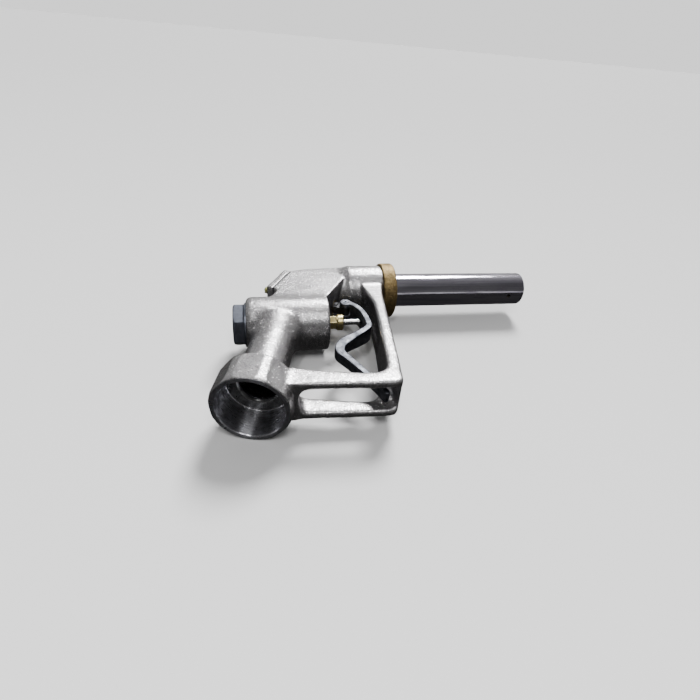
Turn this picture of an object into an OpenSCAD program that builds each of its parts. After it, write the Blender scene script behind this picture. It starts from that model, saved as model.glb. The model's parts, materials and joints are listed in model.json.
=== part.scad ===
// High-flow automatic shut-off fuel nozzle, lying on its left side.
// Row frame: +X along the spout, +Y from the hand guard to the top of the body, +Z to the nozzle's
// right side. The origin is the centre of the box's bottom face.
// Inside place() the frame is the nozzle's own: its X axis is the valve chamber's axis and z = 0 is
// the plane that halves the casting.

/* [Spout] */
// Outer diameter of the spout tube
spout_d = 38.8; // [37:0.1:39.4]
// Wall of the spout tube
spout_wall = 1.6; // [1.2:0.1:2]
// X of the spout tip
spout_end = 301.5; // [290:0.5:320]
// Height of the spout axis over the valve chamber axis
spout_y = 69; // [68:0.5:70]

/* [Collar] */
// Outer diameter of the bronze collar
collar_d = 63.6; // [62:0.2:66]
// X of the collar's rear face
collar_x0 = 119.6; // [119:0.1:120]
// X of the collar's front face
collar_x1 = 134.8; // [134:0.1:137]

/* [Valve chamber] */
// Outer diameter of the valve chamber
chamber_d = 55.6; // [55:0.2:57]
// Bore of the valve chamber
chamber_bore = 45; // [44:0.5:46]
// X of the chamber's rear face
chamber_x0 = -33; // [-34:0.5:-32]
// X of the chamber's front face
chamber_x1 = 48.8; // [48:0.1:50]

/* [Handle and inlet] */
// Lean of the handle away from square to the chamber, degrees
lean = 13.4; // [12:0.2:15]
// Outer diameter of the handle tube
handle_d = 41.4; // [40:0.2:43]
// Length from the chamber axis to the inlet mouth
handle_len = 129; // [128:0.5:130]
// Diameter of the inlet bore
inlet_bore = 56.6; // [55:0.2:57]
// Depth of the inlet bore
inlet_depth = 30.5; // [28:0.5:31]
// Diameter of the passage through the handle
throat_d = 33.2; // [30:0.2:34]
// Outer diameter of the turned inlet rim
rim_d = 66.4; // [65:0.2:68]

/* [Guard] */
// Width of the hand guard
guard_w = 39.8; // [38:0.2:42]
// Width of the slot in the guard
slot_w = 24; // [23:0.5:26]

/* [Diaphragm block] */
// Width of the block and its cover
block_w = 47; // [46:0.5:49]
// Angle of the cover's seat to the spout, degrees
slant = 62.5; // [62:0.1:63]
// Thickness of the cover plate
cover_t = 7.5; // [7:0.1:8]

/* [Lever] */
// Width of the lever
lever_w = 20; // [19:0.5:21]
// X of the lever's pivot
pivot_x = 72; // [71.5:0.1:72.5]
// Y of the lever's pivot
pivot_y = 25.5; // [25:0.1:26]
// Diameter of the lever pin
pin_d = 5; // [4.5:0.1:5.2]

/* [Valve stem] */
// Diameter of the valve stem
stem_d = 6; // [5.8:0.1:6.2]
// Running clearance on the radius of sliding parts
run_gap = 0.05; // [0.03:0.01:0.08]

/* [Hidden] */
$fn = 64;
cut = 1;

// Where the nozzle's own frame lies in the row frame
handle_x = 0.5;
mouth_x = handle_x - handle_len * sin(lean);
mouth_y = -handle_len * cos(lean);
rim_r = rim_d / 2;
rim_edge = 0.8;
turned_r = rim_r + 0.7;
flat_in = rim_r - rim_edge;
flat_step = 45;
corner_turn = 17;
flat_tilt = flat_step / 2 - corner_turn;
rim_reach = flat_in * cos(flat_tilt) + sqrt(rim_r ^ 2 - flat_in ^ 2) * sin(flat_tilt);
half_z = turned_r * cos(acos(flat_in / turned_r) - flat_tilt);
box_x0 = mouth_x + rim_edge * sin(lean) - rim_reach * cos(lean);
box_y0 = mouth_y - (rim_r - rim_edge) * sin(lean);
box_y1 = spout_y + collar_d / 2;
mid_x = (box_x0 + spout_end) / 2;
mid_y = (box_y0 + box_y1) / 2;

// Seat of the diaphragm cover and the plunger axis, which is square to it through the pivot
seat_mid = [5.8, 54.4];
plunger_len = (pivot_x - seat_mid[0]) * sin(slant) - (pivot_y - seat_mid[1]) * cos(slant);
seat_x = pivot_x - plunger_len * sin(slant);
seat_y = pivot_y + plunger_len * cos(slant);
seat_low = -27.8;
seat_high = 17.4;
cover_len = 44.6;
cover_mid = -((seat_x - seat_mid[0]) * cos(slant) + (seat_y - seat_mid[1]) * sin(slant));
screw_span = 37.6;
screw_reach = block_w / 2 - 7;
sheet_t = 1.2;
cover_out = sheet_t + cover_t;

// Valve
chamber_r = chamber_d / 2;
bore_r = chamber_bore / 2;
seat_face = 17;
seat_hole_r = 13.5;
seat_wall = 5;
out_x = 40;
out_r = 20;
gland_x = 43;
gland_r = 6.5;
stem_r = stem_d / 2;
stem_end = 84.4;
stem_tail = -6;

// Spout joint
spout_r = spout_d / 2;
tube_in_r = spout_r - spout_wall;
boss_r = 29;
boss_x = 81;
flare_x = 69;
flare_r = 23.5;
way_r = 17;
seat_ring_r = 22;
seat_ring_x = 84;
spigot_r = 26.4;
spigot_x = 127.5;
flange_x0 = 128.3;
flange_x1 = 131;
flange_r = 24.5;
vac_y = spout_y - 13.4;
vac_r = 2.4;
port_x = 281.5;
port_r = 2.3;

// Slot in the guard's lower run: its start, where it stops going through, and its end
slot_start = 10;
slot_through = 78.5;
slot_end = 93.8;

// Lever: its joints and half thicknesses, from the pivot to the tail
lever_line = [
    [pivot_x, pivot_y, 3.4], [79, 22.5, 3.2], [86, 11, 3.2], [88.6, -3, 3.1], [89.8, -18.5, 3.1],
    [85.4, -24.8, 3.1], [77.9, -30.5, 3.3], [70.1, -36.1, 3.8], [63.3, -40.6, 4.4], [57.2, -44.8, 4.8],
    [53.2, -52, 4.8], [53.4, -59, 4.3], [56.9, -64.6, 3.6], [60.6, -71.6, 3.3], [68.2, -85.9, 3],
    [78.4, -105.2, 2.8], [83.2, -118.6, 2.6]
];
// The lever's half width by Y, as a share of its width at the pivot
lever_taper = [
    [40, 0.5], [0, 0.5], [-17, 0.45], [-27, 0.43], [-36, 0.39], [-44, 0.315], [-51, 0.275], [-130, 0.265]
];
eye_r = 6.2;
tongue_t = 8;

// Point of the cover's seat, by its distance up the seat from the plunger axis
function seat_point(t) = [seat_x + t * cos(slant), seat_y + t * sin(slant)];

// Points of an arc, for outlines
function arc(cx, cy, r, a0, a1, n = 8) =
    [for (i = [0:n]) [cx + r * cos(a0 + (a1 - a0) * i / n), cy + r * sin(a0 + (a1 - a0) * i / n)]];

// Rings of points along a helix, and the faces that join them
function helix_ring(r, wire, h, turns, t, sides) =
    let(a = 360 * turns * t, z = wire + (h - 2 * wire) * t)
    [for (j = [0:sides - 1])
        let(b = 360 * j / sides, q = r + wire * cos(b)) [q * cos(a), q * sin(a), z + wire * sin(b)]];

module coil(r, wire, h, turns, sides = 8, steps = 14) {
    rings = round(turns * steps);
    points = [for (i = [0:rings]) each helix_ring(r, wire, h, turns, i / rings, sides)];
    walls = [for (i = [0:rings - 1], j = [0:sides - 1])
        let(k = (j + 1) % sides)
        [i * sides + j, (i + 1) * sides + j, (i + 1) * sides + k, i * sides + k]];
    first = [[for (j = [0:sides - 1]) j]];
    last = [[for (j = [sides - 1:-1:0]) rings * sides + j]];
    polyhedron(points, concat(walls, first, last));
}

module place() {
    translate([-mid_x, -mid_y, half_z]) children();
}

// Cylinder along +X from x0 to x1
module rod(x0, x1, r) {
    translate([x0, 0, 0]) rotate([0, 90, 0]) cylinder(r = r, h = x1 - x0);
}

module taper(x0, x1, r0, r1) {
    translate([x0, 0, 0]) rotate([0, 90, 0]) cylinder(r1 = r0, r2 = r1, h = x1 - x0);
}

// Ring along +X
module ring(x0, x1, r_in, r_out) {
    difference() {
        rod(x0, x1, r_out);
        rod(x0 - cut, x1 + cut, r_in);
    }
}

// Hexagonal bar along +X
module hex_bar(x0, x1, r, turn = 0) {
    translate([x0, 0, 0]) rotate([turn, 0, 0]) rotate([0, 90, 0]) cylinder(r = r, h = x1 - x0, $fn = 6);
}

// Frame of the spout: X along its axis
module on_spout() {
    translate([0, spout_y, 0]) children();
}

// Frame of the plunger: X from the cover's seat down to the lever, Y up along the seat
module on_plunger() {
    translate([seat_x, seat_y, 0]) rotate([0, 0, slant - 90]) children();
}

// Frame of the handle: X from the mouth back to the chamber
module on_handle() {
    translate([mouth_x, mouth_y, 0]) rotate([0, 0, 90 - lean]) children();
}

module at_screws() {
    for (end = [-1, 1], side = [-1, 1])
        translate([0, cover_mid + end * screw_span / 2, side * screw_reach]) children();
}

// ---- body casting ----

module chamber_shell() {
    shoulder = 5;
    nose = 1.5;
    rotate([0, 90, 0]) rotate_extrude($fn = 96) polygon(concat(
        [[0, chamber_x0]],
        arc(chamber_r - shoulder, chamber_x0 + shoulder, shoulder, -90, 0),
        arc(chamber_r - nose, chamber_x1 - nose, nose, 0, 90, 4),
        [[0, chamber_x1]]
    ));
}

module handle_shell() {
    on_handle() rod(20, handle_len, handle_d / 2);
    // Flare where the handle leaves the chamber
    on_handle() taper(handle_len - 42, handle_len - 16, handle_d / 2 - 0.3, handle_d / 2 + 6.5);
}

// Inlet collar: eight wrench flats with turned corners, chamfered to a round rim and at the back
module inlet_shell() {
    collar_h = 34;
    chamfer = 4.5;
    back = 3;
    on_handle() intersection() {
        rotate([corner_turn, 0, 0]) rotate([0, 90, 0])
            cylinder(r = flat_in / cos(flat_step / 2), h = collar_h, $fn = 8);
        rotate([0, 90, 0]) rotate_extrude($fn = 96) polygon([
            [0, 0], [flat_in, 0], [rim_r, rim_edge], [turned_r, chamfer], [turned_r, collar_h - back],
            [turned_r - back, collar_h], [0, collar_h]
        ]);
    }
}

module block_outline() {
    polygon([
        [-12, 0], [-9.5, 14], [-4, 24], [-1, 31], seat_point(seat_low), seat_point(seat_high), [25, 78],
        [38.6, 81.4], [flare_x + 2, 84], [82, 84], [82, 62], [75.2, 57.9], [49.7, 14.5], [48, 8], [48, 0]
    ]);
}

module block_shell() {
    linear_extrude(block_w, center = true) block_outline();
    on_spout() taper(24, flare_x, 17, flare_r);
    on_spout() taper(flare_x, boss_x, flare_r, boss_r);
    on_spout() rod(boss_x, collar_x0 - 0.2, boss_r);
    on_spout() rod(collar_x0 - cut, spigot_x, spigot_r);
    on_plunger() rod(40, 60, 10.5);
}

module guard_outline() {
    polygon(concat(
        [[-10, -121]], [[1.7, -119.9], [22, -120.8], [42, -122], [78, -124]],
        arc(89, -117, 7.1, -90, 5, 6),
        [[98.6, -99], [101.8, -74.3], [104.8, -48], [107.6, -22], [111.6, 13.1], [116.4, 46], [116.4, 60]],
        [[91, 60], [93.1, 46.4], [98.4, 7.8], [95.1, -27.9], [92.2, -50], [88.4, -84]],
        arc(73.6, -95.2, 13.4, -4, -72, 8),
        [[69, -108.8], [46.5, -105.2], [30.8, -102.4], [15.2, -99.6], [4.8, -98.4], [-10, -97.5]]
    ));
}

module guard_shell() {
    linear_extrude(guard_w, center = true) guard_outline();
}

module slot_outline(x1, nook) {
    half = slot_w / 2;
    corner = 8;
    polygon(concat(
        arc(slot_start + corner, -half + corner, corner, 270, 180, 6),
        arc(slot_start + corner, half - corner, corner, 180, 90, 6),
        arc(x1 - nook, half - nook, nook, 90, 0, 3),
        arc(x1 - nook, -half + nook, nook, 0, -90, 3)
    ));
}

// The guard's slot, the way of the lever's tail behind its blind end, and the recess in the front
// run that the lever's bend moves in
module guard_cuts() {
    inner_y = -94;
    blind_y = -110.5;
    outer_y = -130;
    tail_way = 14;
    lap = 10;
    end_gap = 0.3;
    translate([0, inner_y, 0]) rotate([90, 0, 0])
        linear_extrude(inner_y - outer_y) slot_outline(slot_through, 4);
    translate([0, blind_y, 0]) rotate([90, 0, 0])
        linear_extrude(blind_y - outer_y) slot_outline(slot_end, 2);
    translate([slot_through - lap, outer_y, -tail_way / 2])
        cube([slot_end - end_gap - slot_through + lap, inner_y - outer_y, tail_way]);
    linear_extrude(slot_w + 1, center = true) polygon([
        [80, 30], [101.5, 28], [103.8, 8], [100.6, -28], [98.4, -44], [80, -44]
    ]);
}

module spout_way() {
    on_spout() rod(45, seat_ring_x, way_r);
    on_spout() rod(seat_ring_x - cut, spigot_x + cut, seat_ring_r);
}

module block_way() {
    linear_extrude(block_w - 8, center = true) polygon([
        [23, 9], [39.5, 9], [44.5, 16.5], [64, 49], [64, 74], [30, 74], [26.9, 71.2], [23, 63.5]
    ]);
}

module valve_way() {
    rod(chamber_x0 - cut, seat_face, bore_r);
    rod(seat_face - cut, out_x - cut, seat_hole_r);
    rod(seat_face + seat_wall, out_x, out_r);
    rod(out_x - cut, chamber_x1 + cut, stem_r + run_gap);
    rod(gland_x, chamber_x1 + cut, gland_r);
}

module inlet_way() {
    lip = 1.5;
    edge = 2.4;
    on_handle() rod(inlet_depth - cut, handle_len, throat_d / 2);
    on_handle() rod(-cut, inlet_depth, inlet_bore / 2);
    on_handle() taper(-cut, lip, inlet_bore / 2 + lip + cut, inlet_bore / 2);
    on_handle() taper(inlet_depth - cut, inlet_depth + edge, throat_d / 2 + edge + cut, throat_d / 2);
}

module plunger_sleeve() {
    on_plunger() rod(8, 58, 12.3);
}

module plunger_way() {
    on_plunger() rod(-cut, 7, 15.5);
    on_plunger() rod(6, 36, 9.3);
    on_plunger() rod(35, 62, 8.5);
    on_plunger() at_screws() rod(-cut, 9.5, 2.05);
}

module body_casting() {
    color("silver") place() difference() {
        union() {
            difference() {
                union() {
                    chamber_shell();
                    handle_shell();
                    inlet_shell();
                    block_shell();
                    guard_shell();
                }
                guard_cuts();
                block_way();
                spout_way();
            }
            plunger_sleeve();
        }
        valve_way();
        inlet_way();
        plunger_way();
    }
}

// ---- main valve ----

module rear_cap() {
    spigot = bore_r - 0.1;
    color("lightsteelblue") place() difference() {
        union() {
            intersection() {
                hex_bar(-45.6, -34.4, 22, -10);
                rotate([0, 90, 0]) rotate_extrude($fn = 96) polygon([
                    [0, -45.6], [19.6, -45.6], [22.4, -43.6], [22.4, -34], [0, -34]
                ]);
            }
            rod(-34.5, chamber_x0, 22.4);
            rod(chamber_x0 - cut, -23, spigot);
        }
        rod(-30, -22, 11.5);
        ring(-28.4, -26, 20.5, 24);
    }
}

module cap_o_ring() {
    color("dimgray") place() translate([-27.2, 0, 0]) rotate([0, 90, 0])
        rotate_extrude() translate([21.45, 0]) circle(r = 0.9, $fn = 24);
}

module main_spring() {
    color("gray") place() translate([-30, 0, 0]) rotate([0, 90, 0]) coil(9.2, 1.2, 37.9, 6.5);
}

module poppet_disc() {
    color("goldenrod") place() difference() {
        union() {
            rod(8, 13, 17.4);
            taper(4, 8, 6.5, 7.6);
            rod(-2, 4.1, 6.5);
        }
        rod(-3, 14, stem_r + 0.02);
    }
}

module poppet_seal() {
    color("black") place() ring(13, seat_face - 0.1, 6.1, 16.6);
}

module poppet_nut() {
    color("lightgray") place() difference() {
        hex_bar(stem_tail + 0.6, -2, 5.6);
        rod(-8, 0, stem_r + 0.02);
    }
}

module valve_stem() {
    collar_end = 20.5;
    dome = 1.2;
    color("whitesmoke") place() {
        rod(stem_tail - 0.8, stem_end - dome, stem_r);
        taper(stem_end - dome, stem_end, stem_r, stem_r - dome);
        rod(13, collar_end, 6);
    }
}

module stem_packing() {
    color("white") place() ring(gland_x, 46.8, stem_r + run_gap, gland_r - 0.05);
}

module packing_nut() {
    color("goldenrod") place() difference() {
        union() {
            rod(46.8, 49, gland_r - 0.05);
            hex_bar(chamber_x1, 57.5, 7.4);
            taper(56.5, 59.8, 6, 8.4);
            rod(59.7, 64.6, 8.4);
            taper(64.5, 65.4, 8.4, 7.6);
        }
        rod(46, 66, stem_r + run_gap);
    }
}

// ---- diaphragm latch ----

module diaphragm_cover() {
    edge = 1.2;
    color("silver") place() on_plunger() difference() {
        translate([-cover_out, cover_mid, 0]) rotate([90, 0, 90]) union() {
            linear_extrude(edge) square([cover_len - 2 * edge, block_w - 2 * edge], center = true);
            translate([0, 0, edge]) linear_extrude(cover_t - edge)
                square([cover_len, block_w], center = true);
        }
        rod(-6.7, 0, 12.5);
        at_screws() rod(-cover_out - cut, 0, 2.1);
    }
}

module diaphragm() {
    color("dimgray") place() on_plunger() difference() {
        union() {
            translate([-sheet_t, cover_mid - cover_len / 2 + 0.4, -block_w / 2 + 0.4])
                cube([sheet_t, cover_len - 0.8, block_w - 0.8]);
            rotate([0, 90, 0]) rotate_extrude() translate([12.6, 0]) circle(r = 1.6, $fn = 24);
        }
        rod(-3, 3, 2.05);
        rotate([0, 90, 0]) rotate_extrude() translate([12.6, -1.4]) circle(r = 1.5, $fn = 24);
        at_screws() rod(-3, 3, 2.1);
    }
}

module cover_screws() {
    color("darkkhaki") place() on_plunger() at_screws() difference() {
        union() {
            rod(-cover_out - 2.6, -cover_out, 3.4);
            rod(-cover_out - cut, 8.5, 2);
        }
        translate([-cover_out - 2.2, 0, 0]) cube([1.4, 8, 1], center = true);
    }
}

module diaphragm_spring() {
    color("gray") place() on_plunger() translate([-6.7, 0, 0]) rotate([0, 90, 0]) coil(8, 0.6, 4.2, 2);
}

module diaphragm_washers() {
    color("lightgray") place() on_plunger() {
        ring(-2.4, -sheet_t, 2.02, 9.8);
        ring(0, 1.2, 2.02, 9.8);
    }
}

module latch_pin() {
    color("whitesmoke") place() on_plunger() {
        rod(-4.4, 22, 2);
        rod(1.2, 2.6, 4.5);
    }
}

module latch_pin_nut() {
    color("lightgray") place() on_plunger() difference() {
        hex_bar(-4.1, -2.4, 3.8);
        rod(-5, 0, 2.02);
    }
}

module latch_balls() {
    color("whitesmoke") place() on_plunger() for (a = [0:120:240])
        rotate([a, 0, 0]) translate([15.6, 6.4, 0]) sphere(r = 1.6, $fn = 32);
}

module latch_plunger() {
    head_r = 9;
    half_tongue = 5.5;
    color("whitesmoke") place() on_plunger() difference() {
        union() {
            rod(13, 18.2, head_r);
            rod(18, 63.4, 6);
            translate([60, -half_tongue, -tongue_t / 2])
                cube([plunger_len - 60, 2 * half_tongue, tongue_t]);
            translate([plunger_len, 0, 0]) cylinder(r = half_tongue, h = tongue_t, center = true);
        }
        rod(12, 27, 2 + run_gap);
        translate([plunger_len, 0, 0]) cylinder(d = pin_d + 2 * run_gap, h = 20, center = true);
        for (a = [0:120:240]) rotate([a, 0, 0]) translate([15.6, 6.4, 0])
            rotate([-90, 0, 0]) translate([0, 0, -3]) cylinder(r = 1.7, h = 12);
    }
}

module plunger_bush() {
    color("goldenrod") place() on_plunger() ring(36.1, 59.5, 6 + run_gap, 8.45);
}

module plunger_spring() {
    color("gray") place() on_plunger() translate([18.3, 0, 0]) rotate([0, 90, 0]) coil(7.6, 0.7, 17.6, 5);
}

// ---- lever ----

// Points of a smooth curve that starts and ends with the given points and rounds the others
function smooth(p, n = 4) = concat(
    [p[0]],
    [for (i = [1:len(p) - 2], k = [0:n - 1])
        let(t = (k + 0.5) / n, a = (p[i - 1] + p[i]) / 2, b = (p[i] + p[i + 1]) / 2)
        (1 - t) * (1 - t) * a + 2 * t * (1 - t) * p[i] + t * t * b],
    [p[len(p) - 1]]
);

// Point of the curve p at i, moved aside by its half thickness
function beside(p, i, side) =
    let(v = p[min(i + 1, len(p) - 1)] - p[max(i - 1, 0)], n = [-v[1], v[0]] / norm([v[0], v[1]]))
    [p[i][0] + side * n[0] * p[i][2], p[i][1] + side * n[1] * p[i][2]];

module lever_strip() {
    curve = smooth(lever_line);
    last = len(curve) - 1;
    tail = lever_line[len(lever_line) - 1];
    intersection() {
        linear_extrude(lever_w, center = true) polygon(concat(
            [for (i = [0:last]) beside(curve, i, 1)],
            arc(tail[0], tail[1], tail[2], 20, -160, 6),
            [for (i = [last:-1:0]) beside(curve, i, -1)]
        ));
        translate([40, 0, 0]) rotate([90, 0, 90]) linear_extrude(60) polygon(concat(
            [for (t = lever_taper) [t[0], t[1] * lever_w]],
            [for (i = [len(lever_taper) - 1:-1:0]) [lever_taper[i][0], -lever_taper[i][1] * lever_w]]
        ));
    }
    translate([pivot_x, pivot_y, 0]) cylinder(r = eye_r, h = lever_w, center = true);
}

module lever() {
    color("gainsboro") place() difference() {
        lever_strip();
        translate([pivot_x, pivot_y, 0]) cylinder(d = pin_d, h = lever_w + 2, center = true);
        translate([pivot_x, pivot_y, 0]) cylinder(r = 7.2, h = tongue_t + 0.8, center = true);
    }
}

module lever_pin() {
    color("slategray") place() translate([pivot_x, pivot_y, 0]) difference() {
        cylinder(d = pin_d, h = lever_w + 0.6, center = true);
        cylinder(d = pin_d - 2.2, h = lever_w + 2, center = true);
    }
}

// ---- spout and its check valve ----

module check_seat() {
    color("goldenrod") place() on_spout() difference() {
        rod(90, 102, seat_ring_r - 0.05);
        rod(89, 103, 12.6);
        taper(89, 97, 19, 12.6);
    }
}

module check_poppet() {
    color("goldenrod") place() on_spout() {
        rod(103.4, 107, 16);
        taper(98.5, 102.1, 7, 12);
        rod(102, 103.5, 12);
        rod(106.9, 123, 2.5);
    }
}

module check_seal() {
    color("black") place() on_spout() ring(102.15, 103.4, 12, 15.6);
}

module check_spring() {
    color("gray") place() on_spout() translate([107.2, 0, 0]) rotate([0, 90, 0]) coil(7, 0.6, 11.4, 3.5);
}

module check_guide() {
    arm = 3;
    color("goldenrod") place() on_spout() difference() {
        union() {
            ring(119, 127.4, 18.2, seat_ring_r - 0.05);
            rod(118.8, 127.4, 9);
            for (a = [0:120:240]) rotate([a, 0, 0]) translate([121, 2, -arm / 2]) cube([6, 17, arm]);
            translate([0, vac_y - spout_y, 0]) rod(121, 127.4, 4.2);
            translate([121, -19, -2]) cube([6, 4, 4]);
        }
        rod(118, 129, 2.5 + run_gap);
        translate([0, vac_y - spout_y, 0]) rod(122.5, 129, vac_r + 0.02);
    }
}

module spout_gasket() {
    color("dimgray") place() on_spout() ring(spigot_x, flange_x0, 18.4, flange_r);
}

module spout_collar() {
    r = collar_d / 2;
    color("darkgoldenrod") place() on_spout() rotate([0, 90, 0]) rotate_extrude($fn = 128) polygon(concat(
        [[spigot_r + 0.1, collar_x0], [r - 1, collar_x0], [r, collar_x0 + 1]],
        arc(r - 2.2, collar_x1 - 2.2, 2.2, 0, 90, 5),
        [[spout_r + 0.15, collar_x1], [spout_r + 0.15, flange_x1], [spigot_r + 0.1, flange_x1]]
    ));
}

module spout_tube() {
    lip = 0.6;
    root_r = spout_r - 0.25;
    root_end = collar_x1 + 0.4;
    color("lightgray") place() on_spout() difference() {
        rotate([0, 90, 0]) rotate_extrude($fn = 128) polygon([
            [tube_in_r, flange_x0], [flange_r, flange_x0], [flange_r, flange_x1], [root_r, flange_x1],
            [root_r, root_end], [spout_r, root_end], [spout_r, spout_end - 1.2],
            [spout_r - 0.5, spout_end - 0.3], [spout_r - 1, spout_end], [tube_in_r + 0.2, spout_end],
            [tube_in_r, spout_end - lip]
        ]);
        translate([port_x, -spout_r, 0]) rotate([90, 0, 0]) cylinder(r = port_r, h = 8, center = true);
    }
}

module vacuum_tube() {
    color("peru") place() translate([0, vac_y, 0]) ring(122.6, 278, 1.5, vac_r);
}

module sensing_fitting() {
    r = 4.1;
    color("goldenrod") place() translate([0, vac_y, 0]) difference() {
        union() {
            rod(274, 287, r);
            translate([port_x, 0, 0]) rotate([90, 0, 0]) cylinder(r = 3.4, h = 4.1);
        }
        rod(273, 278, vac_r + 0.02);
        rod(277, 284, 1.5);
        translate([port_x, 0, 0]) rotate([90, 0, 0]) cylinder(r = port_r - 0.4, h = 8);
    }
}

body_casting();
rear_cap();
cap_o_ring();
main_spring();
poppet_disc();
poppet_seal();
poppet_nut();
valve_stem();
stem_packing();
packing_nut();
diaphragm_cover();
diaphragm();
cover_screws();
diaphragm_spring();
diaphragm_washers();
latch_pin();
latch_pin_nut();
latch_balls();
latch_plunger();
plunger_bush();
plunger_spring();
lever();
lever_pin();
check_seat();
check_poppet();
check_seal();
check_spring();
check_guide();
spout_gasket();
spout_collar();
spout_tube();
vacuum_tube();
sensing_fitting();
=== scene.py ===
"""Looks of the fuel nozzle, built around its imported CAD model."""
import json
import math

import bmesh
import bpy
import numpy as np
from mathutils import Matrix, Vector


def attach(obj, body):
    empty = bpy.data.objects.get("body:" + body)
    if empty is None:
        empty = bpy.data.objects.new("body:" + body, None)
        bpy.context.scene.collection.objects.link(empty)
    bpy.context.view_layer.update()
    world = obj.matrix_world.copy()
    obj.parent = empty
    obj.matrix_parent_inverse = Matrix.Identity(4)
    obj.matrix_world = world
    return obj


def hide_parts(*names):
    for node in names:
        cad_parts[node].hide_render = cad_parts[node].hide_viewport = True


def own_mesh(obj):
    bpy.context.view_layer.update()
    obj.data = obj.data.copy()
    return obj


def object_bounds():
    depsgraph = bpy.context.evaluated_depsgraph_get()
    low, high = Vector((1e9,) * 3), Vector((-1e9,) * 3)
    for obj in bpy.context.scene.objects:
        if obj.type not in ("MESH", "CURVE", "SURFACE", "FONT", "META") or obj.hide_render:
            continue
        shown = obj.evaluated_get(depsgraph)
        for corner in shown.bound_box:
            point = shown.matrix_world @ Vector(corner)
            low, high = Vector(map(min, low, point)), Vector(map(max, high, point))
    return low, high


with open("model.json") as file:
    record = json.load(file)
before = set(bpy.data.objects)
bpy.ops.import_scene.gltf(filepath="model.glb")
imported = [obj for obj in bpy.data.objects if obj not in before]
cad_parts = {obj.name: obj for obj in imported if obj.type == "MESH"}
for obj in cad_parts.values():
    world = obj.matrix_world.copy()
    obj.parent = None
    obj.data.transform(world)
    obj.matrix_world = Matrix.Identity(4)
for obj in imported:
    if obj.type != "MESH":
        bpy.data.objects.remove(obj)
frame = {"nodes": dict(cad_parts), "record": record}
CAD_BOX = [list(map(float, corner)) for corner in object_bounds()]

# ---------------------------------------------------------------- the nozzle's own frame
# Shapes are given in mm in the casting's frame: X along the valve chamber, z = 0 its middle plane.

MM = 0.001
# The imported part's origin, in the casting's frame
ORIGIN = np.array([120.1208, -16.0984, -33.2067])
# The handle leans from the Y axis, and the plunger slants from the -Y axis
LEAN = math.radians(13.4)
SLANT = math.radians(62.5)
HANDLE_TOP_X = 0.5
HANDLE_LEN = 129.0
MOUTH = np.array([
    HANDLE_TOP_X - HANDLE_LEN * math.sin(LEAN),
    -HANDLE_LEN * math.cos(LEAN),
    0.0,
])
PIVOT = np.array([72.0, 25.5, 0.0])
PLUNGER_LEN = 72.06
SPOUT_Y = 69.0
SPOUT_END = 301.5


def basis(origin, x_axis):
    """Matrix of a frame in the middle plane, from its origin and the direction of its X axis."""
    x = Vector(x_axis).normalized()
    z = Vector((0.0, 0.0, 1.0))
    turn = Matrix((x, z.cross(x), z)).transposed()
    return Matrix.Translation(Vector(origin)) @ turn.to_4x4()


PLUNGER_DIR = np.array([math.sin(SLANT), -math.cos(SLANT), 0.0])
CHAMBER = basis((0, 0, 0), (1, 0, 0))
SPOUT = basis((0, SPOUT_Y, 0), (1, 0, 0))
HANDLE = basis(MOUTH, (math.sin(LEAN), math.cos(LEAN), 0))
PLUNGER = basis(PIVOT - PLUNGER_LEN * PLUNGER_DIR, PLUNGER_DIR)
# Turns a piece's own Z axis on to a frame's X axis
AXIS_FIRST = Matrix(((0, 0, 1, 0), (1, 0, 0, 0), (0, 1, 0, 0), (0, 0, 0, 1)))


def to_row(points, base=CHAMBER):
    """Points in mm in a frame of the casting, as metres in the row frame."""
    turned = np.asarray(points, float) @ np.array(base.to_3x3()).T + np.array(base.translation)
    return (turned - ORIGIN) * MM


def from_row(points, base=CHAMBER):
    """Row-frame points in metres, as mm in a frame of the casting."""
    own = np.asarray(points, float) / MM + ORIGIN - np.array(base.translation)
    return own @ np.array(base.to_3x3())


def along_and_out(points, base):
    """Distance along a frame's X axis and distance from it, in mm."""
    own = from_row(points, base)
    return own[:, 0], np.hypot(own[:, 1], own[:, 2])


def step(value, start, end):
    """0 before start and 1 after end, smooth between."""
    t = np.clip((value - start) / (end - start), 0.0, 1.0)
    return t * t * (3.0 - 2.0 * t)


def within(value, low, high):
    """True between low and high."""
    return (value > low) & (value < high)


# ---------------------------------------------------------------- meshes

WELD_MM = 0.005
RELAX_SHARE = 0.5
FILL_SHARE = 0.6
FILL_ROUND = 6


def coords(mesh):
    """The vertices of a mesh as rows of an array."""
    flat = np.empty(len(mesh.vertices) * 3, np.float32)
    mesh.vertices.foreach_get("co", flat)
    return flat.reshape(-1, 3).astype(float)


def set_coords(mesh, points):
    """Puts the vertices of a mesh at these points."""
    mesh.vertices.foreach_set("co", points.astype(np.float32).ravel())
    mesh.update()


def normals(mesh):
    """The normal at each vertex."""
    flat = np.empty(len(mesh.vertices) * 3, np.float32)
    mesh.vertex_normals.foreach_get("vector", flat)
    return flat.reshape(-1, 3).astype(float)


def links(mesh):
    """Edges as pairs of vertices, and each vertex's number of neighbours."""
    flat = np.empty(len(mesh.edges) * 2, np.int32)
    mesh.edges.foreach_get("vertices", flat)
    count = np.bincount(flat, minlength=len(mesh.vertices))
    return flat.reshape(-1, 2), np.maximum(count, 1)[:, None]


def neighbour_mean(points, pairs, count):
    """The mean of each vertex's neighbours."""
    a, b = pairs.T
    number = len(points)
    total = [
        np.bincount(a, points[b, k], number) + np.bincount(b, points[a, k], number)
        for k in range(3)
    ]
    return np.column_stack(total) / count


def relax(mesh, passes, weight=1.0):
    """Rounds edges off and evens the surface out, as far as weight allows."""
    pairs, count = links(mesh)
    points = coords(mesh)
    share = RELAX_SHARE * np.reshape(weight, (-1, 1))
    for _ in range(passes):
        points += share * (neighbour_mean(points, pairs, count) - points)
    set_coords(mesh, points)


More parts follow.
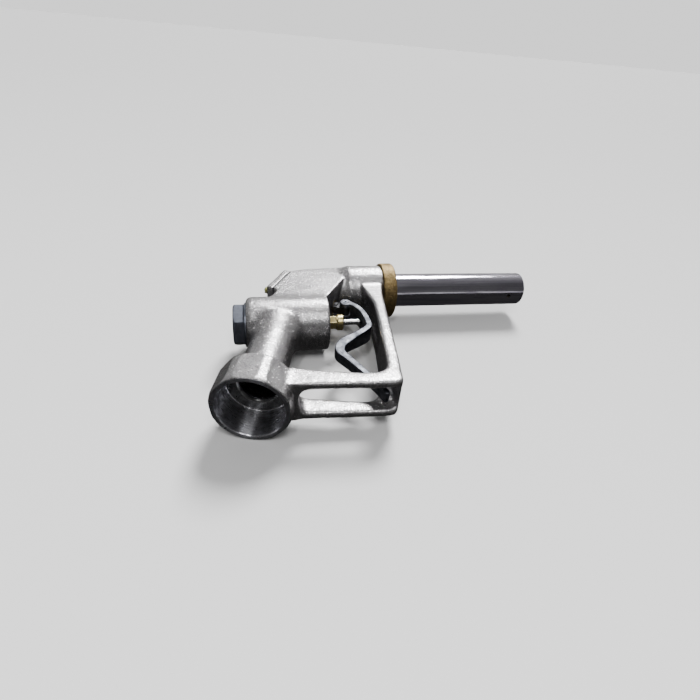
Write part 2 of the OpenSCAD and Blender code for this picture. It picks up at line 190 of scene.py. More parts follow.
def fill_corners(mesh, passes, weight):
    """Raises fillets in inner corners and leaves the rest alone."""
    pairs, count = links(mesh)
    for _ in range(passes // FILL_ROUND):
        points = coords(mesh)
        out = normals(mesh)
        for _ in range(FILL_ROUND):
            rise = ((neighbour_mean(points, pairs, count) - points) * out).sum(1)
            points += (FILL_SHARE * weight * np.maximum(rise, 0.0))[:, None] * out
        set_coords(mesh, points)


def lattice_value(cell):
    """A repeatable value from 0 to 1 for each cell of a grid. The large factors scatter it."""
    mixed = cell[:, 0] * 73856093 ^ cell[:, 1] * 19349663 ^ cell[:, 2] * 83492791
    mixed = (mixed ^ (mixed >> 13)) * 1274126177 & 0x7FFFFFFF
    return (mixed ^ (mixed >> 16)) % 65536 / 65535.0


def lumps(points_mm, size):
    """Smooth noise from -1 to 1 whose lumps are about size mm across."""
    spot = points_mm / size
    cell = np.floor(spot).astype(np.int64)
    t = spot - cell
    t = t * t * (3.0 - 2.0 * t)
    value = np.zeros(len(spot))
    for z, y, x in np.ndindex(2, 2, 2):
        pick = np.array((x, y, z))
        share = np.prod(np.where(pick == 1, t, 1.0 - t), axis=1)
        value += share * lattice_value(cell + pick)
    return 2.0 * value - 1.0


def roughen(mesh, layers, weight=1.0):
    """Moves the surface in and out by noise. layers are pairs of lump size and height in mm."""
    points = coords(mesh)
    out = normals(mesh)
    own = from_row(points)
    apart = 100.0
    shift = sum(
        height * lumps(own + apart * i, size) for i, (size, height) in enumerate(layers)
    )
    set_coords(mesh, points + (shift * weight * MM)[:, None] * out)


def keep_in_box(mesh):
    """Holds a mesh in row coordinates inside the CAD part's box."""
    set_coords(mesh, np.clip(coords(mesh), CAD_BOX[0], CAD_BOX[1]))


def link_object(name, data):
    """A new object in the scene."""
    new = bpy.data.objects.new(name, data)
    bpy.context.collection.objects.link(new)
    return new


def evaluated_mesh(piece):
    """A mesh with the piece's modifiers applied."""
    bpy.context.view_layer.update()
    graph = bpy.context.evaluated_depsgraph_get()
    return bpy.data.meshes.new_from_object(piece.evaluated_get(graph))


def recast(node, name, voxel_mm):
    """A new piece in a CAD node's place, with an even mesh that can be rounded and roughened."""
    source = frame["nodes"][node]
    piece = link_object(name, source.data.copy())
    piece.data.materials.clear()
    welded = bmesh.new()
    welded.from_mesh(piece.data)
    bmesh.ops.remove_doubles(welded, verts=welded.verts, dist=WELD_MM * MM)
    welded.to_mesh(piece.data)
    welded.free()
    if piece.data.has_custom_normals:
        piece.data.attributes.remove(piece.data.attributes["custom_normal"])
    remesh = piece.modifiers.new("remesh", "REMESH")
    remesh.mode = "VOXEL"
    remesh.voxel_size = voxel_mm * MM
    remesh.adaptivity = 0.0
    new_mesh = evaluated_mesh(piece)
    piece.modifiers.clear()
    piece.data = new_mesh
    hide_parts(node)
    return piece


def spread(here, there, spacing):
    """Points from here up to but not including there, about spacing apart where that is given."""
    start = np.array(here)
    reach = np.array(there) - start
    count = 1 if spacing is None else max(1, round(math.dist(here, there) / spacing))
    return [start + reach * i / count for i in range(count)]


def lathe(name, profile, base, segments, spacing=None):
    """A closed ring turned about a frame's X axis, from its profile of (along, out) points in mm.

    The new piece's own Z axis is the axis of turning.
    """
    rows = []
    for here, there in zip(profile, profile[1:] + profile[:1]):
        rows += spread(here, there, spacing)
    turns = np.linspace(0.0, 2.0 * math.pi, segments, endpoint=False)
    points = [(r * math.cos(t) * MM, r * math.sin(t) * MM, x * MM) for x, r in rows for t in turns]
    faces = []
    for i in range(len(rows)):
        row, next_row = i * segments, (i + 1) % len(rows) * segments
        for j in range(segments):
            k = (j + 1) % segments
            faces.append((row + j, next_row + j, next_row + k, row + k))
    mesh = bpy.data.meshes.new(name)
    mesh.from_pydata(points, [], faces)
    solid = bmesh.new()
    solid.from_mesh(mesh)
    bmesh.ops.recalc_face_normals(solid, faces=solid.faces)
    solid.to_mesh(mesh)
    solid.free()
    piece = link_object(name, mesh)
    place = base @ AXIS_FIRST
    place.translation = to_row([(0.0, 0.0, 0.0)], base)[0]
    piece.matrix_world = place
    return piece


def sharpen_edges(piece, degrees=40.0):
    """Keeps turned edges sharp while the curved faces stay smooth."""
    split = piece.modifiers.new("edges", "EDGE_SPLIT")
    split.split_angle = math.radians(degrees)
    split.use_edge_sharp = False


def settle(piece, body, material):
    """Last step for a new piece: smooth shading, material, body and material slot."""
    piece.data.shade_smooth()
    piece.data.materials.clear()
    piece.data.materials.append(material)
    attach(piece, body)


# ---------------------------------------------------------------- materials


class Finish:
    """A material whose patterns are sized in mm and fixed to the piece."""

    def __init__(self, name, metallic):
        self.material = bpy.data.materials.new(name)
        self.material.use_nodes = True
        self.tree = self.material.node_tree
        self.shader = self.tree.nodes["Principled BSDF"]
        self.shader.inputs["Metallic"].default_value = metallic
        place = self.node("ShaderNodeTexCoord").outputs["Object"]
        self.where = self.scaled(place, (1.0 / MM, 1.0 / MM, 1.0 / MM))

    def node(self, kind, inputs=None, **settings):
        """A new node. Its inputs are linked where they are sockets and set where they are values."""
        new = self.tree.nodes.new(kind)
        for key, value in settings.items():
            setattr(new, key, value)
        for key, value in (inputs or {}).items():
            if isinstance(value, bpy.types.NodeSocket):
                self.tree.links.new(value, new.inputs[key])
            else:
                new.inputs[key].default_value = value
        return new

    def scaled(self, vector, scale):
        """A vector with each axis scaled by its own factor."""
        inputs = {"Vector": vector, "Scale": scale}
        return self.node("ShaderNodeMapping", inputs).outputs["Vector"]

    def noise(self, size, detail=3.0, rough=0.55, where=None):
        """Noise from 0 to 1 with features about size mm across."""
        inputs = {
            "Vector": where or self.where, "Scale": 1.0 / size,
            "Detail": detail, "Roughness": rough,
        }
        return self.node("ShaderNodeTexNoise", inputs).outputs["Fac"]

    def cells(self, size):
        """A separate value from 0 to 1 for each grain about size mm across."""
        voronoi = self.node("ShaderNodeTexVoronoi", {"Vector": self.where, "Scale": 1.0 / size})
        parts = self.node("ShaderNodeSeparateColor", {"Color": voronoi.outputs["Color"]})
        return parts.outputs["Red"]

    def span(self, value, low, high, to_low=0.0, to_high=1.0):
        """value, carried from the range low to high over to another range, and held there."""
        inputs = {
            "Value": value, "From Min": low, "From Max": high,
            "To Min": to_low, "To Max": to_high,
        }
        return self.node("ShaderNodeMapRange", inputs).outputs["Result"]

    def math(self, operation, a, b):
        """One sum on two values or sockets."""
        return self.node("ShaderNodeMath", {0: a, 1: b}, operation=operation).outputs["Value"]

    def blend(self, share, a, b):
        """Colour a where share is 0 and colour b where it is 1."""
        mix = self.node("ShaderNodeMix", {"Factor": share}, data_type="RGBA")
        for key, value in (("A", a), ("B", b)):
            socket = [s for s in mix.inputs if s.name == key and s.type == "RGBA"][0]
            if isinstance(value, bpy.types.NodeSocket):
                self.tree.links.new(value, socket)
            else:
                socket.default_value = (*value, 1.0)
        return [s for s in mix.outputs if s.type == "RGBA"][0]

    def bump(self, height, depth_mm, strength=1.0, under=None):
        """A normal from a height, over another normal where that is given."""
        inputs = {"Height": height, "Distance": depth_mm * MM, "Strength": strength}
        if under is not None:
            inputs["Normal"] = under
        return self.node("ShaderNodeBump", inputs).outputs["Normal"]

    def finished(self, **sockets):
        """Links the shader's inputs and gives the material."""
        for key, value in sockets.items():
            self.tree.links.new(value, self.shader.inputs[key.replace("_", " ")])
        return self.material


def sand_cast(name, dark, light, soot, rough, grain, depth):
    """A sand casting: cloudy colour, a fine crystalline grain with painted glints (brighter, glossier
    cells painted into the colour), and pores.

    The grain's size and the depth of its relief are in mm.
    """
    look = Finish(name, 1.0)
    # Painted glint: a brightened copy of the light tone, painted into small cells of the grain
    painted_glint = [min(1.0, c * 1.75) for c in light]
    cloud = look.span(look.noise(22.0, 4.0), 0.35, 0.65)
    blotch = look.noise(4.5, 4.0, 0.6)
    fine = look.noise(grain, 4.0, 0.7)
    spark = look.span(look.cells(grain * 0.55), 0.78, 0.97)
    pores = look.span(look.noise(1.7, 2.0), 0.30, 0.37, 1.0, 0.0)
    colour = look.blend(cloud, dark, light)
    colour = look.blend(look.span(blotch, 0.40, 0.70, 0.0, 0.35), colour, soot)
    colour = look.blend(look.span(fine, 0.45, 0.72, 0.0, 0.45), colour, soot)
    # Painted glints: the grain's cells are painted brighter here and made a little glossier below
    colour = look.blend(look.math("MULTIPLY", spark, 0.75), colour, painted_glint)
    colour = look.blend(look.math("MULTIPLY", pores, 0.5), colour, soot)
    roughness = look.span(fine, 0.35, 0.70, rough[0], rough[1])
    roughness = look.math("SUBTRACT", roughness, look.math("MULTIPLY", spark, 0.10))
    height = look.math("ADD", fine, look.math("MULTIPLY", look.cells(grain * 0.8), 0.35))
    height = look.math("SUBTRACT", height, look.math("MULTIPLY", pores, 0.8))
    normal = look.bump(height, depth, 1.0, look.bump(blotch, 0.25, 0.7))
    return look.finished(Base_Color=colour, Roughness=roughness, Normal=normal)


def turned(name, base, dark, light, rough, ridge, depth):
    """Machined metal: fine rings round the frame's X axis and a slightly uneven tone.

    The rings' spacing and depth are in mm.
    """
    look = Finish(name, 1.0)
    inverse = base.to_3x3().transposed().to_euler()
    inputs = {"Vector": look.where, "Rotation": inverse}
    own = look.node("ShaderNodeMapping", inputs).outputs["Vector"]
    rings = look.noise(ridge, 2.0, 0.6, look.scaled(own, (1.0, 0.004, 0.004)))
    haze = look.noise(7.0, 3.0)
    scratch = look.noise(1.2, 3.0, 0.6, look.scaled(own, (1.0, 0.15, 0.15)))
    colour = look.blend(look.span(haze, 0.35, 0.65), dark, light)
    colour = look.blend(look.span(rings, 0.40, 0.75, 0.0, 0.25), colour, dark)
    roughness = look.span(look.math("ADD", rings, scratch), 0.70, 1.30, rough[0], rough[1])
    normal = look.bump(rings, depth)
    return look.finished(Base_Color=colour, Roughness=roughness, Normal=normal)


def plated(name, dark, light, rough, pit, pit_depth, wave, wave_depth):
    """Plated metal: bright, softly uneven, with small pits and duller patches.

    The pits' and waves' sizes and depths are in mm.
    """
    look = Finish(name, 1.0)
    patch = look.span(look.noise(9.0, 4.0, 0.6), 0.38, 0.66)
    pits = look.span(look.noise(pit, 3.0, 0.6), 0.30, 0.42, 1.0, 0.0)
    fine = look.noise(0.45, 2.0, 0.6)
    colour = look.blend(patch, light, dark)
    colour = look.blend(look.math("MULTIPLY", pits, 0.45), colour, [c * 0.45 for c in dark])
    roughness = look.span(fine, 0.3, 0.7, rough[0], rough[1])
    roughness = look.math("ADD", roughness, look.math("MULTIPLY", patch, 0.10))
    height = look.math("SUBTRACT", look.math("MULTIPLY", fine, 0.25), pits)
    normal = look.bump(height, pit_depth, 1.0, look.bump(look.noise(wave, 2.0), wave_depth))
    return look.finished(Base_Color=colour, Roughness=roughness, Normal=normal)


def polished_tube(name, axis_y, axis_z, end_x, wall_r):
    """Chrome tube with long drawn streaks and faint handling marks, left dull inside and on its end.

    The tube lies along X. Its axis, its end and the radius where the polish stops are in mm.
    """
    look = Finish(name, 1.0)
    spot = look.node("ShaderNodeSeparateXYZ", {"Vector": look.where})
    off_y = look.math("SUBTRACT", spot.outputs["Y"], axis_y)
    off_z = look.math("SUBTRACT", spot.outputs["Z"], axis_z)
    square = look.math("ADD", look.math("MULTIPLY", off_y, off_y), look.math("MULTIPLY", off_z, off_z))
    radius = look.math("SQRT", square, 0.0)
    inside = look.span(radius, wall_r - 0.2, wall_r + 0.2, 1.0, 0.0)
    dull = look.math("MAXIMUM", inside, look.span(spot.outputs["X"], end_x - 0.25, end_x - 0.1))
    long = look.scaled(look.where, (0.035, 1.0, 1.0))
    streaks = look.noise(1.3, 4.0, 0.6, long)
    bands = look.noise(5.0, 2.0, 0.5, long)
    smears = look.noise(6.0, 4.0, 0.65, look.scaled(look.where, (0.25, 1.0, 1.0)))
    smears = look.span(smears, 0.48, 0.68)
    colour = look.blend(look.span(bands, 0.35, 0.65), (0.46, 0.44, 0.51), (0.66, 0.64, 0.70))
    colour = look.blend(look.math("MULTIPLY", smears, 0.6), colour, (0.40, 0.36, 0.45))
    colour = look.blend(dull, colour, (0.62, 0.61, 0.60))
    roughness = look.span(streaks, 0.35, 0.70, 0.07, 0.17)
    roughness = look.math("ADD", roughness, look.math("MULTIPLY", smears, 0.10))
    roughness = look.math("ADD", roughness, look.math("MULTIPLY", dull, 0.38))
    height = look.math("ADD", streaks, look.math("MULTIPLY", bands, 2.0))
    normal = look.bump(height, 0.05, 1.0, look.bump(look.noise(30.0, 1.0), 0.25))
    return look.finished(Base_Color=colour, Roughness=roughness, Normal=normal)


def moulded(name, dark, light, rough):
    """Rubber, fibre or plastic: mottled tone, dull, with a fine skin."""
    look = Finish(name, 0.0)
    mottle = look.noise(3.0, 4.0, 0.6)
    skin = look.noise(0.4, 3.0, 0.6)
    colour = look.blend(look.span(mottle, 0.35, 0.65), dark, light)
    roughness = look.span(skin, 0.3, 0.7, rough[0], rough[1])
    normal = look.bump(skin, 0.04)
    return look.finished(Base_Color=colour, Roughness=roughness, Normal=normal)


CAST = sand_cast(
    "cast_aluminium", (0.36, 0.35, 0.358), (0.50, 0.49, 0.495), (0.17, 0.165, 0.17),
    rough=(0.27, 0.40), grain=1.5, depth=0.19,
)
COVER_CAST = sand_cast(
    "cast_aluminium_cover", (0.36, 0.35, 0.357), (0.47, 0.46, 0.465), (0.17, 0.165, 0.17),
    rough=(0.26, 0.40), grain=1.4, depth=0.14,
)
BRONZE = sand_cast(
    "bronze", (0.19, 0.134, 0.056), (0.29, 0.21, 0.098), (0.09, 0.063, 0.028),
    rough=(0.42, 0.60), grain=1.5, depth=0.50,
)
BORE = turned(
    "machined_aluminium", AXIS_FIRST.transposed(), (0.46, 0.46, 0.49), (0.68, 0.68, 0.72),
    rough=(0.25, 0.32), ridge=0.35, depth=0.003,
)
# The bore's fine rings draw its highlights out into streaks
bore_inputs = BORE.node_tree.nodes["Principled BSDF"].inputs
bore_inputs["Anisotropic"].default_value = 0.9
bore_inputs["Anisotropic Rotation"].default_value = 0.25
# The bore's floor: the same machined metal painted far darker, as painted shade at the bottom of the
# bore
PAINTED_SHADE_FLOOR = turned(
    "machined_floor_painted_shade", AXIS_FIRST.transposed(), (0.12, 0.12, 0.12), (0.22, 0.22, 0.22),
    rough=(0.22, 0.32), ridge=0.35, depth=0.01,
)
# Brass for the sensing fitting down the spout's hole, painted near black as painted shade in the hole
PAINTED_SHADE_BRASS = turned(
    "brass_painted_shade", SPOUT, (0.09, 0.075, 0.045), (0.16, 0.13, 0.08),
    rough=(0.35, 0.50), ridge=0.3, depth=0.01,
)
BRASS = turned(
    "brass", CHAMBER, (0.55, 0.45, 0.20), (0.78, 0.67, 0.34),
    rough=(0.24, 0.36), ridge=0.3, depth=0.004,
)
STAINLESS = turned(
    "stainless", CHAMBER, (0.52, 0.52, 0.52), (0.76, 0.76, 0.75),
    rough=(0.18, 0.30), ridge=0.25, depth=0.004,
)
DARK_STEEL = turned(
    "dark_steel", PLUNGER, (0.035, 0.035, 0.037), (0.07, 0.07, 0.073),
    rough=(0.50, 0.62), ridge=0.5, depth=0.01,
)
WIRE = turned(
    "spring_steel", CHAMBER, (0.26, 0.26, 0.27), (0.42, 0.42, 0.43),
    rough=(0.25, 0.42), ridge=0.5, depth=0.01,
)
COPPER = turned(
    "copper", CHAMBER, (0.58, 0.30, 0.18), (0.76, 0.45, 0.30),
    rough=(0.22, 0.38), ridge=0.5, depth=0.01,
)
ZINC = plated(
    "zinc_plate", (0.13, 0.14, 0.17), (0.19, 0.205, 0.245),
    rough=(0.28, 0.40), pit=0.5, pit_depth=0.015, wave=7.0, wave_depth=0.05,
)
YELLOW_ZINC = plated(
    "yellow_zinc", (0.42, 0.44, 0.16), (0.66, 0.64, 0.30),
    rough=(0.26, 0.38), pit=0.4, pit_depth=0.01, wave=3.0, wave_depth=0.03,
)
LEVER = plated(
    "plated_lever", (0.055, 0.058, 0.068), (0.15, 0.158, 0.178),
    rough=(0.36, 0.50), pit=1.3, pit_depth=0.13, wave=3.0, wave_depth=0.16,
)
CHROME = polished_tube(
    "chrome", SPOUT_Y - ORIGIN[1], -ORIGIN[2], SPOUT_END - ORIGIN[0], wall_r=18.4,
)
RUBBER = moulded("rubber", (0.022, 0.022, 0.023), (0.05, 0.05, 0.05), rough=(0.55, 0.75))
PACKING = moulded("packing", (0.62, 0.61, 0.57), (0.80, 0.79, 0.75), rough=(0.45, 0.60))

BY_SLOT = {
    "cast_aluminium": CAST, "zinc_plate": ZINC, "yellow_zinc": YELLOW_ZINC,
    "plated_lever": LEVER, "stainless": STAINLESS, "spring_steel": WIRE, "chrome": CHROME,
    "bronze": BRONZE, "brass": BRASS, "copper": COPPER, "rubber": RUBBER, "packing": PACKING,
}
# The sensing fitting takes the brass painted dark as shade in its hole
BY_NODE = {"sensing_fitting": PAINTED_SHADE_BRASS, "latch_plunger": DARK_STEEL}
SLOT_OF = {part["node"]: part["material_slot"] for part in frame["record"]["subparts"]}
for node_name, cad_node in frame["nodes"].items():
    for material_slot in cad_node.material_slots:
        material_slot.material = BY_NODE.get(node_name, BY_SLOT[SLOT_OF[node_name]])

# ---------------------------------------------------------------- body casting

INLET_BORE = 28.3
INLET_DEPTH = 30.5
THROAT = 16.6
LIP = 0.9
RIM_FLAT = 32.1

# The casting's machined places, in mm along their frame's X axis and out from it. A range, start or end
# says where the place is, and between two radii the cast surface takes over.
INLET_END, INLET_RADII = 45.0, (30.2, 31.4)
THROAT_START, THROAT_RADIUS = 40.0, 17.5
CAP_SEAT_END, CAP_SEAT_RADII = -31.5, (23.6, 25.0)
GLAND_START, GLAND_RADII = 44.0, (8.2, 9.6)
CHAMBER_RANGE, CHAMBER_RADIUS = (-33.0, 48.0), 23.2
SPIGOT_CAST_END, SPIGOT_START = 117.6, 119.0
SPOUT_WAY_START, SPOUT_WAY_RADIUS = 46.0, 22.6
COVER_SEAT_END, SEAT_CAST_START = 0.25, 1.4
SLEEVE_RANGE, SLEEVE_RADII = (0.0, 62.0), (9.6, 10.4)

# The guard's free runs, by where each starts and where it is full, in the casting's X and Y
LOW_RUN_Y, LOW_RUN_X = (-90.0, -97.0), (6.0, 16.0)
FRONT_RUN_Y, FRONT_RUN_X = (45.0, 25.0), (84.0, 90.0)


def body_weights(points):
    """Share of sand-cast character for each point: 0 on machined seats, 1 on free cast surfaces."""
    along, out = along_and_out(points, HANDLE)
    inlet = np.where(along < INLET_END, step(out, *INLET_RADII), 1.0)
    inlet = np.where((along > THROAT_START) & (out < THROAT_RADIUS), 0.0, inlet)
    along, out = along_and_out(points, CHAMBER)
    cap_seat = np.where(along < CAP_SEAT_END, step(out, *CAP_SEAT_RADII), 1.0)
    gland = np.where(along > GLAND_START, step(out, *GLAND_RADII), 1.0)
    bore = np.where(within(along, *CHAMBER_RANGE) & (out < CHAMBER_RADIUS), 0.0, 1.0)
    along, out = along_and_out(points, SPOUT)
    spigot = step(-along, -SPIGOT_START, -SPIGOT_CAST_END)
    way = np.where((along > SPOUT_WAY_START) & (out < SPOUT_WAY_RADIUS), 0.0, 1.0)
    along, out = along_and_out(points, PLUNGER)
    seat = step(along, COVER_SEAT_END, SEAT_CAST_START)
    sleeve = np.where(within(along, *SLEEVE_RANGE), step(out, *SLEEVE_RADII), 1.0)
    return inlet * cap_seat * gland * bore * spigot * way * seat * sleeve


def guard_share(points):
    """1 on the guard's two free runs, whose edges are well rounded, and 0 elsewhere."""
    x, y, _ = from_row(points).T
    low_run = step(-y, -LOW_RUN_Y[0], -LOW_RUN_Y[1]) * step(x, *LOW_RUN_X)
    front_run = step(x, *FRONT_RUN_X) * step(-y, -FRONT_RUN_Y[0], -FRONT_RUN_Y[1])
    return np.maximum(low_run, front_run)


def root_share(points):
    """1 where the handle runs into the valve chamber, which has a deep fillet, and 0 elsewhere."""
    along, out = along_and_out(points, HANDLE)
    return step(along, 60.0, 85.0) * (1.0 - step(out, 45.0, 60.0))


def wrench_share(points):
    """How far edges are rounded off: little on the inlet collar's wrench flats, in full elsewhere."""
    along, _ = along_and_out(points, HANDLE)
    flats_end = 36.0
    return np.where(along < flats_end, 0.12, 1.0)


def stand_back(mesh):
    """Moves the casting's bore and mouth back from the lining that covers them."""
    own = from_row(coords(mesh), HANDLE)
    out = np.hypot(own[:, 1], own[:, 2])
    gap, floor_gap = 0.5, 0.4
    lined = (own[:, 0] < INLET_DEPTH + 4.5) & (out < RIM_FLAT - 0.3)
    wall = lined & (own[:, 0] < INLET_DEPTH - 0.5)
    own[:, 1:] *= (1.0 + np.where(wall, gap, 0.0) / np.maximum(out, 1.0))[:, None]
    own[:, 0] += np.where(lined & (own[:, 0] < 1.0), gap, 0.0)
    own[:, 0] += np.where(lined & (own[:, 0] > INLET_DEPTH - 1.0), floor_gap, 0.0)
    set_coords(mesh, to_row(own, HANDLE))


def make_body():
    """The casting, with rounded edges, fillets and a sand-cast surface."""
    piece = recast("body_casting", "body", voxel_mm=0.9)
    mesh = piece.data
    weight = body_weights(coords(mesh))
    root = root_share(coords(mesh))
    crisp = wrench_share(coords(mesh))
    relax(mesh, passes=2, weight=weight * crisp)
    fill_corners(mesh, passes=36, weight=weight)
    fill_corners(mesh, passes=90, weight=weight * root)
    relax(mesh, passes=7, weight=weight * crisp)
    relax(mesh, passes=36, weight=weight * guard_share(coords(mesh)))
    stand_back(mesh)
    roughen(mesh, ((14.0, 0.16), (5.0, 0.10), (2.2, 0.06)), weight)
    keep_in_box(mesh)
    settle(piece, "nozzle_body", CAST)


def make_inlet_ring(name, profile, material):
    """One of the inlet's two machined rings."""
    piece = lathe(name, profile, HANDLE, segments=192)
    settle(piece, "nozzle_body", material)
    sharpen_edges(piece)


def make_inlet_lining():
    """The inlet's machined face and bore, and the floor round its throat, painted dark as painted
    shade.
    """
    back = INLET_BORE + 1.4
    wall = [
        (0.0, RIM_FLAT), (0.0, INLET_BORE + LIP), (0.15, INLET_BORE + LIP - 0.35),
        (LIP - 0.2, INLET_BORE + 0.15), (LIP + 0.2, INLET_BORE),
        (INLET_DEPTH - 0.4, INLET_BORE), (INLET_DEPTH, INLET_BORE - 0.4),
        (INLET_DEPTH + 0.6, back), (3.0, back), (0.6, RIM_FLAT),
    ]
    floor = [
        (INLET_DEPTH, INLET_BORE - 0.4), (INLET_DEPTH, THROAT + 2.7),
        (INLET_DEPTH + 0.3, THROAT + 2.1), (INLET_DEPTH + 2.2, THROAT + 0.2),
        (INLET_DEPTH + 2.8, THROAT), (INLET_DEPTH + 2.9, THROAT + 0.5),
        (INLET_DEPTH + 0.6, INLET_BORE - 0.4),
    ]
    make_inlet_ring("inlet_lining", wall, BORE)
    make_inlet_ring("inlet_floor", floor, PAINTED_SHADE_FLOOR)


make_body()
make_inlet_lining()

# ---------------------------------------------------------------- collar, cover, cap, nut, lever

COLLAR_R = 31.8
COLLAR_REAR, COLLAR_FRONT = 119.6, 134.8
COLLAR_NOSE = 2.2
# The collar's bore over the spigot, the narrower one over the spout, and the step between them
COLLAR_BORE, COLLAR_LIP_R, COLLAR_STEP = 26.6, 19.6, 131.0


def collar_profile():
    """The collar's section, with a chamfered rear edge and a round front one."""
    centre_x, centre_r = COLLAR_FRONT - COLLAR_NOSE, COLLAR_R - COLLAR_NOSE
    nose = [
        (centre_x + COLLAR_NOSE * math.sin(a), centre_r + COLLAR_NOSE * math.cos(a))
        for a in np.linspace(0, math.pi / 2, 7)
    ]
    rear = [
        (COLLAR_REAR, COLLAR_BORE), (COLLAR_REAR, COLLAR_R - 1.2),
        (COLLAR_REAR + 0.3, COLLAR_R - 0.4), (COLLAR_REAR + 1.1, COLLAR_R),
    ]
    inside = [
        (COLLAR_FRONT, COLLAR_LIP_R + 0.6), (COLLAR_FRONT - 0.6, COLLAR_LIP_R),
        (COLLAR_STEP, COLLAR_LIP_R), (COLLAR_STEP, COLLAR_BORE),
    ]
    return rear + nose + inside


def make_collar():
    """The collar, cast rough where it shows and plain where it fits."""
    piece = lathe("collar", collar_profile(), SPOUT, segments=288, spacing=0.75)
    mesh = piece.data
    out = np.hypot(*coords(mesh)[:, :2].T) / MM
    over_spigot = np.where(out > COLLAR_BORE - 0.2, step(out, 27.0, 28.0), 1.0)
    shown = step(out, 19.8, 21.0) * over_spigot
    relax(mesh, passes=2, weight=shown)
    roughen(mesh, ((9.0, 0.14), (2.4, 0.14), (1.2, 0.09)), shown)
    points = coords(mesh)
    out = np.hypot(points[:, 0], points[:, 1])
    points[:, :2] *= np.minimum(1.0, (COLLAR_R - 0.01) * MM / out)[:, None]
    set_coords(mesh, points)
    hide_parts("spout_collar")
    settle(piece, "nozzle_body", BRONZE)


def make_cover():
    """The diaphragm's cover, whose seat stays flat."""
    piece = recast("diaphragm_cover", "cover", voxel_mm=0.6)
    mesh = piece.data
    along, _ = along_and_out(coords(mesh), PLUNGER)
    free = 1.0 - step(along, -2.2, -1.5)
    relax(mesh, passes=4, weight=0.25 + 0.75 * free)
    roughen(mesh, ((8.0, 0.10), (2.0, 0.04)), free)
    settle(piece, "nozzle_body", COVER_CAST)


def make_rounded(node, name, body, material, voxel_mm, passes, layers=()):
    """A piece whose edges are rounded off, and roughened where layers are given."""
    piece = recast(node, name, voxel_mm)
    relax(piece.data, passes)
    if layers:
        roughen(piece.data, layers)
    settle(piece, body, material)


def make_spring(node):
    """A spring: a copy of its CAD mesh in spring steel, in the CAD part's place on the nozzle body.
    """
    piece = link_object(node + "_coil", frame["nodes"][node].data.copy())
    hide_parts(node)
    settle(piece, "nozzle_body", WIRE)
    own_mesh(piece)


make_collar()
make_cover()
make_spring("main_spring")
make_spring("plunger_spring")
make_spring("diaphragm_spring")
make_spring("check_spring")
make_rounded(
    "rear_cap", "hex_cap", "nozzle_body", ZINC,
    voxel_mm=0.5, passes=3, layers=((9.0, 0.05),),
)
make_rounded("packing_nut", "gland_nut", "nozzle_body", BRASS, voxel_mm=0.3, passes=2)
make_rounded("cover_screws", "screws", "nozzle_body", YELLOW_ZINC, voxel_mm=0.28, passes=2)
make_rounded(
    "lever", "trigger_lever", "trigger", LEVER,
    voxel_mm=0.55, passes=6, layers=((7.0, 0.12), (2.0, 0.07)),
)

# ---------------------------------------------------------------- camera

EYE = Vector((-0.13517, -0.36836, 0.27600))
YAW = math.radians(13.34)
PITCH = math.radians(35.25)
ROLL = math.radians(5.48)
LENS_MM = 22.544


def add_camera():
    """The camera, turned to YAW from +Y, tipped down by PITCH and rolled by ROLL."""
    level = math.cos(PITCH)
    forward = Vector((math.sin(YAW) * level, math.cos(YAW) * level, -math.sin(PITCH)))
    right = Vector((math.cos(YAW), -math.sin(YAW), 0.0))
    up = right.cross(forward)
    turned_right = math.cos(ROLL) * right + math.sin(ROLL) * up
    turned_up = math.cos(ROLL) * up - math.sin(ROLL) * right
    data = bpy.data.cameras.new("camera")
    data.lens = LENS_MM
    data.sensor_width = 36.0
    data.clip_start = 0.01
    data.clip_end = 500.0
    camera = link_object("camera", data)
    turn = Matrix((turned_right, turned_up, -forward)).transposed()
    camera.matrix_world = Matrix.Translation(EYE) @ turn.to_4x4()
    bpy.context.scene.camera = camera


add_camera()

# ---------------------------------------------------------------- light and floor

# Brightness of the surroundings by the sine of the height: far is beyond the nozzle, in +Y, and near is
# on the camera's side. They light the nozzle and show in its gloss.
SKY_FAR = ((-0.02, 0.035), (0.0, 0.80), (0.12, 0.80), (0.30, 0.42), (0.80, 0.34), (1.0, 0.22))
SKY_NEAR = ((-0.02, 0.035), (0.0, 0.95), (0.06, 0.80), (0.12, 0.12), (0.70, 0.09), (1.0, 0.22))
# The two blend into each other while the direction's Y goes from minus to plus this
SIDE_BLEND = 0.35
# The camera sees this plain backdrop past the floor instead
BACKDROP = (1.25, 1.25, 1.25)
FLOOR_SIZE = 200.0
FLOOR_COLOUR = (0.86, 0.86, 0.86)


def add_sky_ramp(tree, sky, height):
    """The colour of one side of the surroundings, from a height between 0 and 1."""
    ramp = tree.nodes.new("ShaderNodeValToRGB")
    tree.links.new(height, ramp.inputs["Fac"])
    stops = ramp.color_ramp.elements
    while len(stops) < len(sky):
        stops.new(0.5)
    for stop, (sine, value) in zip(stops, sky):
        stop.position = (sine + 1.0) / 2.0
        stop.color = (value, value, value, 1.0)
    return ramp.outputs["Color"]


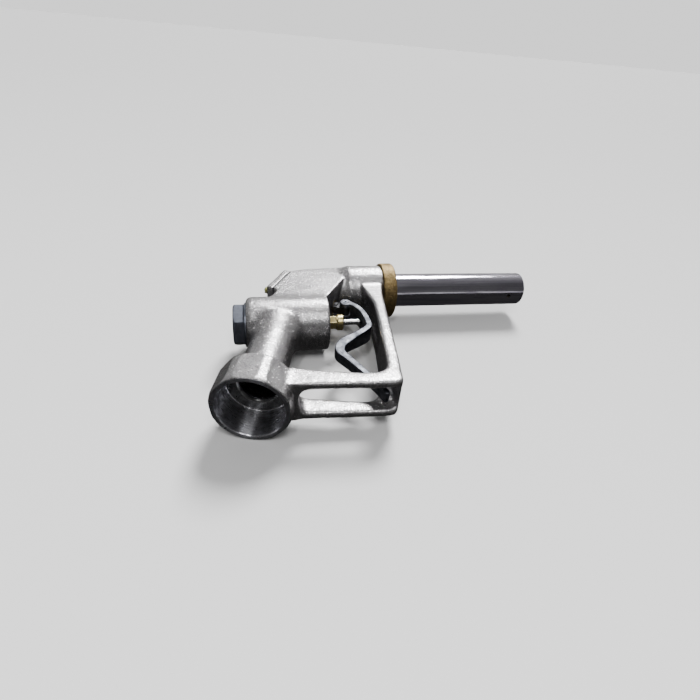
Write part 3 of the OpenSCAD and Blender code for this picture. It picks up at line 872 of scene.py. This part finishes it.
def add_world():
    """The surroundings, and the backdrop for the camera."""
    world = bpy.data.worlds.new("world")
    bpy.context.scene.world = world
    world.use_nodes = True
    tree = world.node_tree
    back = tree.nodes["Background"]
    place = tree.nodes.new("ShaderNodeTexCoord")
    split = tree.nodes.new("ShaderNodeSeparateXYZ")
    lift = tree.nodes.new("ShaderNodeMapRange")
    side = tree.nodes.new("ShaderNodeMapRange")
    mix = tree.nodes.new("ShaderNodeMix")
    mix.data_type = "RGBA"
    near, far = [socket for socket in mix.inputs if socket.type == "RGBA"]
    mixed = [socket for socket in mix.outputs if socket.type == "RGBA"][0]
    lift.inputs["From Min"].default_value = -1.0
    side.inputs["From Min"].default_value = -SIDE_BLEND
    side.inputs["From Max"].default_value = SIDE_BLEND
    tree.links.new(place.outputs["Generated"], split.inputs["Vector"])
    tree.links.new(split.outputs["Z"], lift.inputs["Value"])
    tree.links.new(split.outputs["Y"], side.inputs["Value"])
    tree.links.new(side.outputs["Result"], mix.inputs["Factor"])
    tree.links.new(add_sky_ramp(tree, SKY_NEAR, lift.outputs["Result"]), near)
    tree.links.new(add_sky_ramp(tree, SKY_FAR, lift.outputs["Result"]), far)
    tree.links.new(mixed, back.inputs["Color"])
    plain = tree.nodes.new("ShaderNodeBackground")
    plain.inputs["Color"].default_value = (*BACKDROP, 1.0)
    seen = tree.nodes.new("ShaderNodeLightPath").outputs["Is Camera Ray"]
    pick = tree.nodes.new("ShaderNodeMixShader")
    tree.links.new(seen, pick.inputs[0])
    tree.links.new(back.outputs["Background"], pick.inputs[1])
    tree.links.new(plain.outputs["Background"], pick.inputs[2])
    tree.links.new(pick.outputs["Shader"], tree.nodes["World Output"].inputs["Surface"])


def add_lamp(name, place, aim, size, size_y, watts):
    """A rectangular lamp at place that faces the point aim."""
    data = bpy.data.lights.new(name, "AREA")
    data.shape = "RECTANGLE"
    data.size = size
    data.size_y = size_y
    data.energy = watts
    lamp = link_object(name, data)
    lamp.location = place
    lamp.rotation_euler = (Vector(aim) - Vector(place)).to_track_quat("-Z", "Y").to_euler()


def add_sun(toward, width, strength):
    """A sun in the direction toward, width degrees wide."""
    data = bpy.data.lights.new("sun", "SUN")
    data.angle = math.radians(width)
    data.energy = strength
    sun = link_object("sun", data)
    sun.rotation_euler = Vector(toward).to_track_quat("Z", "Y").to_euler()


def add_floor():
    """A pale floor that stays out of the nozzle's gloss."""
    mesh = bpy.data.meshes.new("floor")
    grid = bmesh.new()
    bmesh.ops.create_grid(grid, x_segments=1, y_segments=1, size=FLOOR_SIZE / 2)
    grid.to_mesh(mesh)
    grid.free()
    floor = link_object("floor", mesh)
    material = bpy.data.materials.new("floor")
    material.use_nodes = True
    shader = material.node_tree.nodes["Principled BSDF"]
    shader.inputs["Base Color"].default_value = (*FLOOR_COLOUR, 1.0)
    shader.inputs["Roughness"].default_value = 0.9
    mesh.materials.append(material)
    floor.visible_glossy = False


LAMP_AIM = (-0.13, -0.10, 0.03)
LAMP = {"aim": LAMP_AIM, "size": 0.05, "size_y": 0.7, "watts": 7.0}

add_world()
add_floor()
add_sun((0.29, 0.62, 0.73), width=20.0, strength=5.6)
add_lamp("left_lamp", (-0.42, -0.85, 1.55), **LAMP)
add_lamp("right_lamp", (0.10, -0.85, 1.55), **LAMP)
